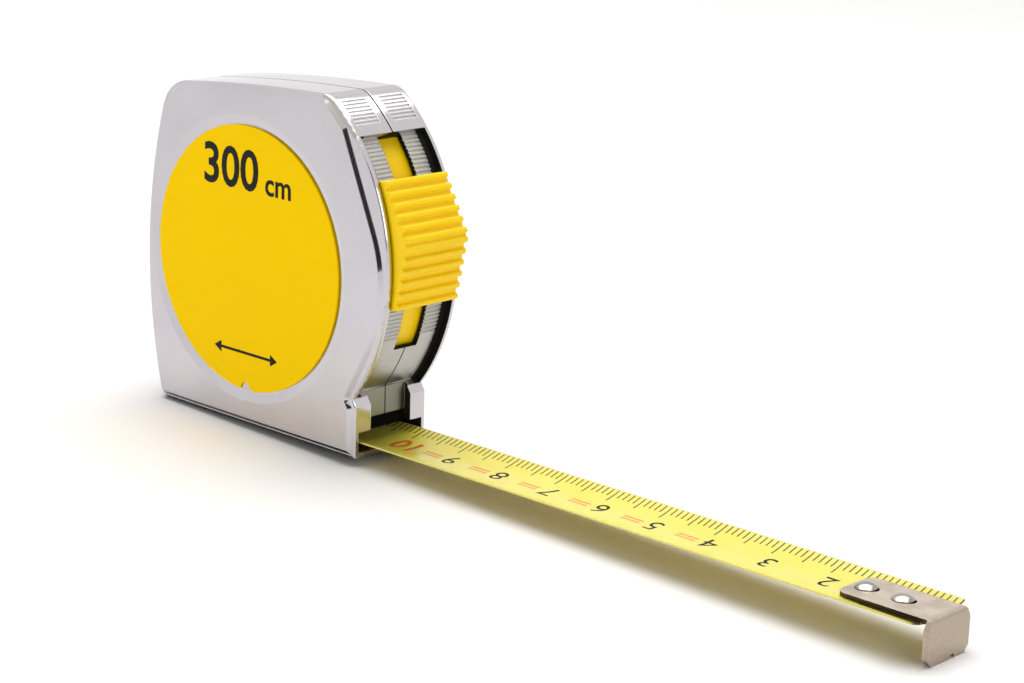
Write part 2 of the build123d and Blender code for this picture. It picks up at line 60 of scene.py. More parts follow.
Pair = tuple[float, float]
Triple = tuple[float, float, float]
Colour = Triple
Socket = bpy.types.NodeSocket
Material = bpy.types.Material
Piece = bpy.types.Object
Shape = bmesh.types.BMesh

# Edges that turn more than these stay sharp: on copies of CAD nodes, on ribbons and on print
SHARP_DEG = 13.0
RIBBON_SHARP_DEG = 40.0
PRINT_SHARP_DEG = 60.0

LIP_MM = 0.9  # the hook's lip, from its outer face back to the scale's zero
BLADE_EDGE_MM = 6.22  # the blade's edge from its middle, across its hollow
SATIN_ROUGH: Pair = (0.26, 0.36)
MATT: Pair = (0.45, 0.6)
TURNED: Triple = (300.0, 300.0, 300.0)  # streaks of turned steel, the same along each axis


class Body(Enum):
    """CAD bodies that the pieces ride on."""

    CASE = "case"
    SPOOL = "spool"
    BLADE = "blade"
    HOOK = "hook"
    LOCK = "lock"


class Slot(Enum):
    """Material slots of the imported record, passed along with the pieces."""

    PLATING = "case_plating"
    LABEL = "label_film"
    SPRING = "spring_steel"
    BLADE = "blade_paint"
    HOOK = "hook_steel"
    LOCK = "lock_plastic"


class ShellFace(Enum):
    """Finishes of the case's faces, as material numbers."""

    BRIGHT = 0
    SATIN = 1
    # unplated black moulding: partly real, partly painted shade in the recesses and under the base
    BARE = 2
    # darker plating on the lintel: a painted shade and dark reflection of the mouth
    WORN = 3


class NodeGraph:
    """Node tree of one material, with short calls for the nodes that the finishes share."""

    def __init__(self, name: str) -> None:
        """Starts a material around its principled shader.

        Args:
            name: the material's name.
        """
        self.material = bpy.data.materials.new(name)
        self.material.use_nodes = True
        self.tree = self.material.node_tree
        self.shader = self.tree.nodes["Principled BSDF"]
        self.place = self.add("ShaderNodeTexCoord").outputs["Object"]

    def add(self, kind: str, **settings: object) -> bpy.types.Node:
        """Adds a node.

        Args:
            kind: the node's type name.
            settings: properties of the node to set.

        Returns:
            The new node.
        """
        node = self.tree.nodes.new(kind)
        for key, value in settings.items():
            setattr(node, key, value)
        return node

    def feed(self, socket: Socket, value: object) -> None:
        """Links a socket to another one, or sets it to a plain value.

        Args:
            socket: the input to fill.
            value: an output socket, a number or a colour.
        """
        if isinstance(value, Socket):
            self.tree.links.new(value, socket)
        else:
            socket.default_value = value

    def calc(self, operation: str, *values: object) -> Socket:
        """Adds a math node.

        Args:
            operation: the math operation's name.
            values: its inputs, as sockets or numbers.

        Returns:
            The result's socket.
        """
        node = self.add("ShaderNodeMath", operation=operation)
        for socket, value in zip(node.inputs, values):
            self.feed(socket, value)
        return node.outputs[0]

    def axes(self) -> bpy.types.NodeOutputs:
        """Returns the object coordinates as separate X, Y and Z sockets."""
        node = self.add("ShaderNodeSeparateXYZ")
        self.feed(node.inputs[0], self.place)
        return node.outputs

    def stretch(self, scale: Triple) -> Socket:
        """Multiplies the object coordinates, for streaks.

        Args:
            scale: the factor of each axis.

        Returns:
            The new coordinates.
        """
        node = self.add("ShaderNodeMapping")
        self.feed(node.inputs["Vector"], self.place)
        node.inputs["Scale"].default_value = scale
        return node.outputs["Vector"]

    def noise(self, per_metre: float, detail: float = 3.0, along: Socket | None = None) -> Socket:
        """Adds a noise pattern.

        Args:
            per_metre: how many features lie on a metre.
            detail: how many finer layers it has.
            along: coordinates other than the object's own.

        Returns:
            The pattern's value, about 0 to 1.
        """
        node = self.add("ShaderNodeTexNoise")
        self.feed(node.inputs["Vector"], along or self.place)
        node.inputs["Scale"].default_value = per_metre
        node.inputs["Detail"].default_value = detail
        return node.outputs["Fac"]

    def span(self, value: Socket, low: float, high: float, start: float = 0.3, end: float = 0.7) -> Socket:
        """Maps a pattern to a range.

        Args:
            value: the pattern.
            low: the result where the pattern is at start.
            high: the result where the pattern is at end.
            start: the pattern's lower value.
            end: the pattern's upper value.

        Returns:
            The mapped value.
        """
        node = self.add("ShaderNodeMapRange")
        self.feed(node.inputs["Value"], value)
        for socket, number in zip(("From Min", "From Max", "To Min", "To Max"), (start, end, low, high)):
            node.inputs[socket].default_value = number
        return node.outputs["Result"]

    def blend(self, factor: object, first: object, second: object) -> Socket:
        """Mixes two colours.

        Args:
            factor: 0 gives the first colour and 1 the second.
            first: a colour or a colour's socket.
            second: a colour or a colour's socket.

        Returns:
            The mixed colour.
        """
        node = self.add("ShaderNodeMix", data_type="RGBA")
        self.feed(node.inputs[0], factor)
        for index, value in ((6, first), (7, second)):
            self.feed(node.inputs[index], (*value, 1.0) if isinstance(value, tuple) else value)
        return node.outputs[2]

    def bump(self, height: Socket, depth_mm: float, strength: float, edge_mm: float = 0.0) -> Socket:
        """Adds a bump, and softens the edges under it.

        Args:
            height: the pattern that raises the surface.
            depth_mm: how far it raises it.
            strength: its share.
            edge_mm: how far from an edge the softening reaches, or 0 for none.

        Returns:
            The surface direction.
        """
        node = self.add("ShaderNodeBump")
        self.feed(node.inputs["Height"], height)
        node.inputs["Distance"].default_value = depth_mm * MM
        node.inputs["Strength"].default_value = strength
        if edge_mm > 0:
            soft = self.add("ShaderNodeBevel", samples=6)
            soft.inputs["Radius"].default_value = edge_mm * MM
            self.feed(node.inputs["Normal"], soft.outputs["Normal"])
        return node.outputs["Normal"]

    def fill(self, **values: object) -> Material:
        """Fills the shader's sockets.

        Args:
            values: socket names with underscores for spaces, and their values.

        Returns:
            The finished material.
        """
        for key, value in values.items():
            if isinstance(value, tuple):
                value = (*value, 1.0)
            self.feed(self.shader.inputs[key.replace("_", " ")], value)
        return self.material


@dataclass(frozen=True)
class Plating:
    """Bright plating with a faint moulded ripple, smears and fine rubbing marks."""

    name: str = "bright plating"
    clean: Colour = (0.585, 0.56, 0.59)
    dull: Colour = (0.54, 0.515, 0.54)
    rough: Pair = (0.06, 0.13)
    smear_per_metre: float = 90.0
    ripple_per_metre: float = 260.0
    ripple_mm: float = 0.01
    scuff_per_metre: float = 160.0
    scuff_stretch: Triple = (1.0, 1.0, 14.0)
    scuff_rough: float = 0.04
    edge_mm: float = 0.25
    seam: Colour = (0.05, 0.05, 0.045)
    seam_mm: float = 0.26

    def make(self) -> Material:
        """Returns the finished material."""
        graph = NodeGraph(self.name)
        across = graph.calc("ABSOLUTE", graph.axes()["Y"])
        joint = graph.calc("LESS_THAN", across, self.seam_mm * MM / 2)
        smear = graph.noise(self.smear_per_metre, detail=5.0)
        scuff = graph.noise(self.scuff_per_metre, detail=4.0, along=graph.stretch(self.scuff_stretch))
        rubbed = graph.span(scuff, 0.0, self.scuff_rough, start=0.5, end=0.75)
        ripple = graph.noise(self.ripple_per_metre, detail=1.0)
        metal = graph.blend(graph.span(smear, 0.0, 1.0), self.clean, self.dull)
        return graph.fill(
            Base_Color=graph.blend(joint, metal, self.seam),
            Metallic=1.0,
            Roughness=graph.calc("ADD", graph.span(smear, *self.rough), rubbed),
            Normal=graph.bump(ripple, self.ripple_mm, strength=0.2, edge_mm=self.edge_mm),
        )


@dataclass(frozen=True)
class Film:
    """Smooth printed film of the round labels."""

    name: str = "label film"
    colour: Colour = (0.97, 0.615, 0.0005)
    faded: Colour = (0.98, 0.635, 0.001)
    rough: Pair = (0.5, 0.6)
    gloss: float = 0.03
    wash_per_metre: float = 70.0
    grain_per_metre: float = 5000.0
    grain_mm: float = 0.006
    edge_mm: float = 0.08

    def make(self) -> Material:
        """Returns the finished material."""
        graph = NodeGraph(self.name)
        wash = graph.noise(self.wash_per_metre, detail=4.0)
        grain = graph.noise(self.grain_per_metre, detail=2.0)
        return graph.fill(
            Base_Color=graph.blend(graph.span(wash, 0.0, 1.0), self.colour, self.faded),
            Roughness=graph.span(wash, *self.rough),
            Specular_IOR_Level=self.gloss,
            Normal=graph.bump(grain, self.grain_mm, strength=0.2, edge_mm=self.edge_mm),
        )


@dataclass(frozen=True)
class Moulding:
    """Moulded plastic with a fine matt grain and a little cloudiness."""

    name: str
    colour: Colour
    cloud: Colour
    rough: Pair = (0.3, 0.42)
    cloud_per_metre: float = 140.0
    grain_per_metre: float = 2600.0
    grain_mm: float = 0.012
    edge_mm: float = 0.12
    glow: float = 0.0
    glow_mm: Triple = (0.8, 0.45, 0.1)
    gloss: float = 0.4

    def make(self) -> Material:
        """Returns the finished material."""
        graph = NodeGraph(self.name)
        cloud = graph.noise(self.cloud_per_metre, detail=4.0)
        grain = graph.noise(self.grain_per_metre)
        graph.shader.inputs["Subsurface Radius"].default_value = [depth * MM for depth in self.glow_mm]
        return graph.fill(
            Base_Color=graph.blend(graph.span(cloud, 0.0, 1.0), self.colour, self.cloud),
            Roughness=graph.span(cloud, *self.rough),
            Subsurface_Weight=self.glow,
            Subsurface_Scale=1.0,
            Specular_IOR_Level=self.gloss,
            Normal=graph.bump(grain, self.grain_mm, strength=0.4, edge_mm=self.edge_mm),
        )


@dataclass(frozen=True)
class Steel:
    """Drawn or pressed steel with streaks along one axis, small stains, and a painted shade beyond a given
    X.
    """

    name: str
    bright: Colour
    stained: Colour
    streak: Triple = (40.0, 1400.0, 1400.0)
    rough: Pair = (0.2, 0.36)
    edge_mm: float = 0.1
    streak_mm: float = 0.01
    stain_per_metre: float = 320.0
    # beyond this X the steel is painted darker as shade; the hook's lip uses it
    dull_from_x: float = 1.0
    dull_run: float = 0.0012
    dull_share: float = 0.8

    def make(self) -> Material:
        """Returns the finished material."""
        graph = NodeGraph(self.name)
        streak = graph.noise(1.0, along=graph.stretch(self.streak))
        stain = graph.span(graph.noise(self.stain_per_metre, detail=5.0), 0.0, 1.0, start=0.45, end=0.8)
        # Beyond the given X the colour turns towards the darker one: a painted shade, mixed with the real
        # stains.
        shade_to_x = self.dull_from_x + self.dull_run
        past = graph.span(graph.axes()["X"], 0.0, self.dull_share, self.dull_from_x, shade_to_x)
        stain_and_shade_mask = graph.calc("MAXIMUM", past, stain)
        return graph.fill(
            Base_Color=graph.blend(stain_and_shade_mask, self.bright, self.stained),
            Metallic=1.0,
            Roughness=graph.span(streak, *self.rough),
            Normal=graph.bump(streak, self.streak_mm, strength=0.35, edge_mm=self.edge_mm),
        )


@dataclass(frozen=True)
class Ink:
    """Printing ink, slightly uneven."""

    name: str
    colour: Colour
    thin: Colour
    rough: Pair = (0.45, 0.6)
    gloss: float = 0.12
    wear_per_metre: float = 1800.0

    def make(self) -> Material:
        """Returns the finished material."""
        graph = NodeGraph(self.name)
        wear = graph.noise(self.wear_per_metre, detail=4.0)
        thinned = graph.span(wear, 0.0, 1.0, start=0.45, end=0.8)
        return graph.fill(
            Base_Color=graph.blend(thinned, self.colour, self.thin),
            Roughness=graph.span(wear, *self.rough),
            Specular_IOR_Level=self.gloss,
        )


@dataclass(frozen=True)
class Lacquer:
    """Blade lacquer with the millimetre scale along its far edge, rims with wear, and a painted shadow of
    the hook's plate beside it.
    """

    zero_x: float
    edge_y: float
    name: str = "blade lacquer"
    colour: Colour = (0.86, 0.75, 0.09)
    pale: Colour = (0.88, 0.79, 0.14)
    ink: Colour = (0.09, 0.07, 0.008)
    rim: Colour = (0.72, 0.62, 0.18)
    # colour and place of the hook plate's painted shadow on the blade
    grime: Colour = (0.05, 0.035, 0.003)
    grime_x: Pair = (0.1138, 0.1262)
    grime_y: float = -0.004
    grime_mm: Pair = (0.5, 2.6)
    mark_width_mm: float = 0.26
    mark_lengths_mm: tuple[Pair, ...] = ((1.0, 1.9), (5.0, 2.9), (10.0, 3.2))
    rim_mm: float = 0.2
    rim_wear: Pair = (0.4, 1.0)
    rough: Pair = (0.22, 0.3)
    gloss: float = 0.5
    wash_per_metre: float = 160.0
    grain_per_metre: float = 3000.0
    grain_mm: float = 0.005

    def marks(self, graph: NodeGraph) -> Socket:
        """Draws the scale.

        Args:
            graph: the material's node tree.

        Returns:
            1 on a mark and 0 beside it.
        """
        axes = graph.axes()
        run = graph.calc("MULTIPLY", graph.calc("SUBTRACT", self.zero_x, axes["X"]), 1 / MM)
        inward = graph.calc("MULTIPLY", graph.calc("SUBTRACT", self.edge_y, axes["Y"]), 1 / MM)
        inked: object = 0.0
        for step, length in self.mark_lengths_mm:
            away = graph.calc("PINGPONG", run, step / 2)
            on_line = graph.calc("LESS_THAN", away, self.mark_width_mm / 2)
            within = graph.calc("LESS_THAN", inward, length)
            inked = graph.calc("MAXIMUM", inked, graph.calc("MULTIPLY", on_line, within))
        return inked

    def dirt(self, graph: NodeGraph) -> Socket:
        """Draws the painted shadow that the hook's plate casts on the blade's near side.

        Args:
            graph: the material's node tree.

        Returns:
            1 beside the plate, fading to 0 away from it.
        """
        axes = graph.axes()
        start, end = self.grime_x
        narrow, wide = self.grime_mm
        reach = graph.span(axes["X"], narrow * MM, wide * MM, start, end)
        beside = graph.calc("SUBTRACT", self.grime_y, axes["Y"])
        share = graph.calc("SUBTRACT", 1.0, graph.calc("DIVIDE", beside, reach))
        near_side = graph.calc("GREATER_THAN", beside, 0.0)
        fading = graph.calc("MULTIPLY", near_side, graph.span(share, 0.0, 1.0, start=0.0, end=0.5))
        along = graph.calc("MULTIPLY", fading, graph.calc("GREATER_THAN", axes["X"], start))
        return graph.calc("MULTIPLY", along, graph.calc("LESS_THAN", axes["X"], end))

    def make(self) -> Material:
        """Returns the finished material."""
        graph = NodeGraph(self.name)
        wash = graph.noise(self.wash_per_metre, detail=4.0)
        grain = graph.noise(self.grain_per_metre, detail=2.0)
        paint = graph.blend(graph.span(wash, 0.0, 1.0), self.colour, self.pale)
        across = graph.calc("ABSOLUTE", graph.axes()["Y"])
        at_rim = graph.calc("GREATER_THAN", across, self.edge_y - self.rim_mm * MM)
        worn = graph.calc("MULTIPLY", at_rim, graph.span(wash, *self.rim_wear))
        printed = graph.blend(self.marks(graph), paint, self.ink)
        edged = graph.blend(worn, printed, self.rim)
        return graph.fill(
            # The hook plate's painted shadow darkens the lacquer beside the plate.
            Base_Color=graph.blend(self.dirt(graph), edged, self.grime),
            Roughness=graph.span(wash, *self.rough),
            Specular_IOR_Level=self.gloss,
            Normal=graph.bump(grain, self.grain_mm, strength=0.3),
        )


def link_object(name: str, data: bpy.types.ID) -> Piece:
    """Puts an object into the scene.

    Args:
        name: the object's name.
        data: its mesh, curve, light or camera.

    Returns:
        The object.
    """
    made = bpy.data.objects.new(name, data)
    bpy.context.scene.collection.objects.link(made)
    return made


def to_piece(shape: Shape, name: str, *materials: Material, sharp_deg: float = 32.0) -> Piece:
    """Makes a piece of a finished bmesh, smooth up to an angle.

    Args:
        shape: the mesh in the row frame, in metres.
        name: the piece's name.
        materials: its finishes, in the order of the faces' material numbers.
        sharp_deg: edges that turn more than this stay sharp.

    Returns:
        The piece.
    """
    for face in shape.faces:
        face.smooth = True
    for edge in shape.edges:
        edge.smooth = edge.calc_face_angle(0.0) < math.radians(sharp_deg)
    mesh = bpy.data.meshes.new(name)
    shape.to_mesh(mesh)
    shape.free()
    for material in materials:
        mesh.materials.append(material)
    return link_object(name, mesh)


def finish_piece(piece: Piece, body: Body, slot: Slot, *nodes: str) -> None:
    """Hands a piece to its body and hides the CAD nodes that it stands for.

    Args:
        piece: the piece.
        body: the body that carries it.
        slot: not used.
        nodes: CAD nodes that it replaces.
    """
    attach(piece, body.value)
    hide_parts(*nodes)
    LOG.info("%s rides %s", piece.name, body.value)


def dress_node(node: str, material: Material) -> None:
    """Gives a CAD node a finish of its own.

    Args:
        node: the CAD node's name.
        material: its finish.
    """
    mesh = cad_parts[node].data
    mesh.materials.clear()
    mesh.materials.append(material)
    LOG.info("%s keeps its CAD shape", node)


def merged_shape(node: str) -> Shape:
    """Copies a CAD node's mesh with its loose triangles joined.

    Args:
        node: the CAD node's name.

    Returns:
        The joined mesh.
    """
    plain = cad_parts[node].data.copy()
    if "custom_normal" in plain.attributes:
        plain.attributes.remove(plain.attributes["custom_normal"])
    shape = bmesh.new()
    shape.from_mesh(plain)
    bpy.data.meshes.remove(plain)
    bmesh.ops.remove_doubles(shape, verts=shape.verts, dist=0.002 * MM)
    bmesh.ops.dissolve_degenerate(shape, edges=shape.edges, dist=0.0005 * MM)
    return shape


def even_shading(piece: Piece) -> Piece:
    """Lets large faces rule a piece's surface directions, and returns the piece."""
    weighted = piece.modifiers.new("even shading", "WEIGHTED_NORMAL")
    weighted.keep_sharp = True
    return piece


def merged_copy(node: str, name: str, material: Material, sharp_deg: float = SHARP_DEG) -> Piece:
    """Copies a CAD node as a piece whose curves shade smoothly.

    Args:
        node: the CAD node's name.
        name: the piece's name.
        material: its finish.
        sharp_deg: edges that turn more than this stay sharp.

    Returns:
        The piece.
    """
    return even_shading(to_piece(merged_shape(node), name, material, sharp_deg=sharp_deg))


def text_shape(text: str, height_mm: float, swell: float) -> Shape:
    """Draws plain figures as a flat mesh in X and Y, centred on the origin.

    Args:
        text: the figures.
        height_mm: how tall a figure is.
        swell: how much its strokes are thickened, as a share of the font's size.

    Returns:
        The flat mesh, in metres, with its front along +Z.
    """
    curve = bpy.data.curves.new("figures", "FONT")
    curve.body = text
    curve.resolution_u = 4
    curve.offset = swell
    drawn = link_object("figures", curve)
    bpy.context.view_layer.update()
    mesh = bpy.data.meshes.new_from_object(drawn.evaluated_get(bpy.context.evaluated_depsgraph_get()))
    shape = bmesh.new()
    shape.from_mesh(mesh)
    bpy.data.objects.remove(drawn)
    bpy.data.meshes.remove(mesh)
    bmesh.ops.remove_doubles(shape, verts=shape.verts, dist=1e-5)
    xs = [vert.co.x for vert in shape.verts]
    ys = [vert.co.y for vert in shape.verts]
    size = height_mm * MM / (max(ys) - min(ys))
    centre = Vector(((max(xs) + min(xs)) / 2, (max(ys) + min(ys)) / 2, 0.0))
    bmesh.ops.translate(shape, verts=shape.verts, vec=-centre)
    bmesh.ops.scale(shape, verts=shape.verts, vec=(size, size, size))
    return shape


def cut_across(shape: Shape, y: float) -> None:
    """Splits the faces of a mesh along a plane across Y.

    Args:
        shape: the mesh.
        y: where the plane stands.
    """
    geometry = shape.verts[:] + shape.edges[:] + shape.faces[:]
    bmesh.ops.bisect_plane(shape, geom=geometry, plane_co=(0.0, y, 0.0), plane_no=(0.0, 1.0, 0.0))


def thicken(shape: Shape, depth: Vector) -> None:
    """Gives a flat print a body that sinks into what it is printed on.

    Args:
        shape: the flat mesh.
        depth: the direction and distance from its front to its back.
    """
    front = list(shape.faces)
    grown = bmesh.ops.extrude_face_region(shape, geom=front, use_keep_orig=True)
    back = [item for item in grown["geom"] if isinstance(item, bmesh.types.BMVert)]
    bmesh.ops.translate(shape, verts=back, vec=depth)
    bmesh.ops.recalc_face_normals(shape, faces=shape.faces)


@dataclass
class CaseShell:
    """The two plated halves, unplated black where they face each other, with painted shade below, in the
    gutters and on the lintel, their screws and the mouth's liner.
    """

    plating: Material
    satin: Material
    # unplated black, partly painted shade
    bare: Material
    # darker plating for the lintel, a painted shade
    worn: Material
    screw: Material
    liner: Material
    arc_z_mm: float = 29.5
    arc_radius_mm: float = 31.5
    arc_skin_mm: float = 0.12
    channel_depth_mm: float = 1.1
    channel_deg: float = 40.2
    channel_half_mm: float = 6.8
    panel_deg: float = 57.0
    rail_half_mm: float = 5.6
    slot_half_mm: float = 2.5
    seam_half_mm: float = 1.0
    round_x_mm: float = 15.0
    round_reach_mm: Pair = (30.95, 31.6)
    round_y_mm: Pair = (7.1, 7.62)
    cheek_gap_mm: float = 4.25
    cheek_top_mm: float = 10.5
    lintel_back_mm: float = 2.5
    base_mm: float = 1.0
    base_lean: float = -0.35
    inner_lean: float = 0.9
    slot_end_lean: float = 0.5
    rail_sink_mm: float = 1.65

    def __post_init__(self) -> None:
        """Takes the mouth's place from its liner."""
        self.mouth_x_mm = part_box("mouth_liner")[1].x / MM

    def build(self) -> None:
        """Dresses the halves and what is fixed to them."""
        for half in ("case_near", "case_far"):
            finish_piece(self.shell(half), Body.CASE, Slot.PLATING, half)
        dress_node("case_screws", self.screw)
        # The mouth's liner is deep black, a real part that also paints the shade inside the mouth.
        dress_node("mouth_liner", self.liner)

    def shell(self, half: str) -> Piece:
        """Builds one half with its four finishes.

        Args:
            half: the CAD node's name.

        Returns:
            The piece.
        """
        shape = merged_shape(half)
        for side in (-1, 1):
            cut_across(shape, side * self.rail_half_mm * MM)
        for face in shape.faces:
            face.material_index = self.finish_of(face).value
        finishes = (self.plating, self.satin, self.bare, self.worn)
        piece = to_piece(shape, f"{half}_shell", *finishes, sharp_deg=SHARP_DEG)
        for edge in piece.data.edges:
            if all(self.on_round(piece.data.vertices[index].co / MM) for index in edge.vertices):
                edge.use_edge_sharp = False
        return even_shading(piece)

    def on_round(self, place: Vector) -> bool:
        """Finds the front's rounded rim.

        Args:
            place: a place on the shell, in millimetres.

        Returns:
            Whether it lies on the rim.
        """
        nearest, farthest = self.round_reach_mm
        inner, outer = self.round_y_mm
        on_arc = nearest < math.hypot(place.x, place.z - self.arc_z_mm) < farthest
        return on_arc and place.x > self.round_x_mm and inner < abs(place.y) < outer

    def finish_of(self, face: bmesh.types.BMFace) -> ShellFace:
        """Chooses the finish of one face.

        Args:
            face: a face of the shell.

        Returns:
            Unplated black below, on faces towards the seam, in the gutters and at the slot's ends, partly
            real and partly painted shade; satin on the rails and the panels' grooves; a painted shade on the
            lintel; bright elsewhere.
        """
        centre = face.calc_center_median() / MM
        rise = centre.z - self.arc_z_mm
        inward = -face.normal.y if centre.y > 0 else face.normal.y
        reach = math.hypot(centre.x, rise)
        turn = math.degrees(math.atan2(rise, centre.x))
        width = abs(centre.y)
        sunk = self.arc_radius_mm - reach
        # Unplated black under the base, painting the contact shade along the bottom edge.
        if face.normal.z < self.base_lean and centre.z < self.base_mm:
            return ShellFace.BARE
        # Unplated black on faces towards the seam, partly real and partly painting the shade of the
        # channel's and cheeks' inner walls.
        if inward > self.inner_lean and width > self.seam_half_mm and centre.x > 0:
            return ShellFace.BARE
        # In the channel, faces off the rails' tops turn unplated black, painting the shade of the gutters
        # and the slot's ends.
        if abs(turn) < self.channel_deg and sunk > self.arc_skin_mm and width < self.channel_half_mm:
            outward = (face.normal.x * centre.x + face.normal.z * rise) / reach
            slot_end = width < self.slot_half_mm and outward < self.slot_end_lean
            on_rail = sunk < self.rail_sink_mm and width < self.rail_half_mm
            return ShellFace.SATIN if on_rail and not slot_end else ShellFace.BARE
        if self.channel_deg < turn < self.panel_deg and self.arc_skin_mm < sunk < self.channel_depth_mm:
            return ShellFace.SATIN
        # The lintel between the cheeks gets darker plating: a painted shade and dark reflection of the
        # mouth.
        at_mouth = centre.x > self.mouth_x_mm - self.lintel_back_mm
        if at_mouth and width < self.cheek_gap_mm and centre.z < self.cheek_top_mm:
            return ShellFace.WORN
        return ShellFace.BRIGHT


@dataclass
class Labels:
    """Round film labels and the plain print on the one in view."""

    film: Material
    ink: Material
    figure_height_mm: float = 6.6
    unit_height_mm: float = 2.6
    figure_x_mm: float = -3.6
    unit_x_mm: float = 7.4
    print_rise_mm: float = 14.2
    arrow_drop_mm: float = 15.2
    arrow_half_mm: float = 7.5
    arrow_head_mm: float = 1.1
    bar_mm: float = 0.45
    print_mm: float = 0.02
    swell: float = 0.018

    def build(self) -> None:
        """Dresses the labels and prints the near one."""
        for side in ("near", "far"):
            piece = merged_copy(f"label_{side}", f"label_{side}_film", self.film)
            finish_piece(piece, Body.CASE, Slot.LABEL, f"label_{side}")
        figures = text_shape("300", self.figure_height_mm, self.swell)
        self.put(figures, "label_figures", self.figure_x_mm, self.print_rise_mm)
        unit = text_shape("cm", self.unit_height_mm, self.swell)
        unit_rise_mm = self.print_rise_mm - (self.figure_height_mm - self.unit_height_mm) / 2
        self.put(unit, "label_unit", self.unit_x_mm, unit_rise_mm)
        self.put(self.arrow(), "label_arrow", 0.0, -self.arrow_drop_mm)

    def arrow(self) -> Shape:
        """Returns a flat double arrow in X and Y."""
        shape = bmesh.new()
        half = self.arrow_half_mm * MM
        head = self.arrow_head_mm * MM
        bar = bmesh.ops.create_grid(shape, x_segments=1, y_segments=1, size=0.5)
        bmesh.ops.scale(shape, verts=bar["verts"], vec=(2 * half - 3 * head, self.bar_mm * MM, 1.0))
        for turn in (0.0, math.pi):
            tip = Matrix.Rotation(turn, 4, "Z") @ Matrix.Translation((half - head, 0.0, 0.0))
            tip = tip @ Matrix.Rotation(-math.pi / 2, 4, "Z")
            bmesh.ops.create_circle(shape, cap_ends=True, segments=3, radius=head, matrix=tip)
        for face in shape.faces:
            if face.normal.z < 0:
                face.normal_flip()
        return shape

    def put(self, shape: Shape, name: str, x_mm: float, rise_mm: float) -> None:
        """Stands a flat print on the near label.

        Args:
            shape: the print, drawn in X and Y.
            name: the piece's name.
            x_mm: its place along the case, from the label's centre.
            rise_mm: its height above that centre.
        """
        low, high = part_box("label_near")
        place = (low + high) / 2 + Vector((x_mm * MM, 0.0, rise_mm * MM))
        place.y = low.y - self.print_mm * MM
        stand = Matrix.Translation(place) @ Matrix.Rotation(math.pi / 2, 4, "X")
        bmesh.ops.transform(shape, matrix=stand, verts=shape.verts)
        thicken(shape, Vector((0.0, 2 * self.print_mm * MM, 0.0)))
        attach(to_piece(shape, name, self.ink, sharp_deg=PRINT_SHARP_DEG), Body.CASE.value)
        LOG.info("%s printed", name)


@dataclass
class Lock:
    """Sliding thumb lock: ribbed button, curved strip and brake pad."""

    yellow: Material
    rubber: Material
    crease_deg: float = 28.0
    round_mm: float = 0.2
    round_steps: int = 3

    def build(self) -> None:
        """Dresses the lock's three pieces, with the button's ribs rounded."""
        for node in ("thumb_button", "lock_strip"):
            piece = merged_copy(node, f"{node}_moulding", self.yellow, self.crease_deg)
            finish_piece(piece, Body.LOCK, Slot.LOCK, node)
            rounded = piece.modifiers.new("moulded edges", "BEVEL")
            rounded.width = self.round_mm * MM
            rounded.segments = self.round_steps
            rounded.limit_method = "ANGLE"
            rounded.angle_limit = math.radians(self.crease_deg)
            piece.modifiers.move(1, 0)
        dress_node("brake_pad", self.rubber)


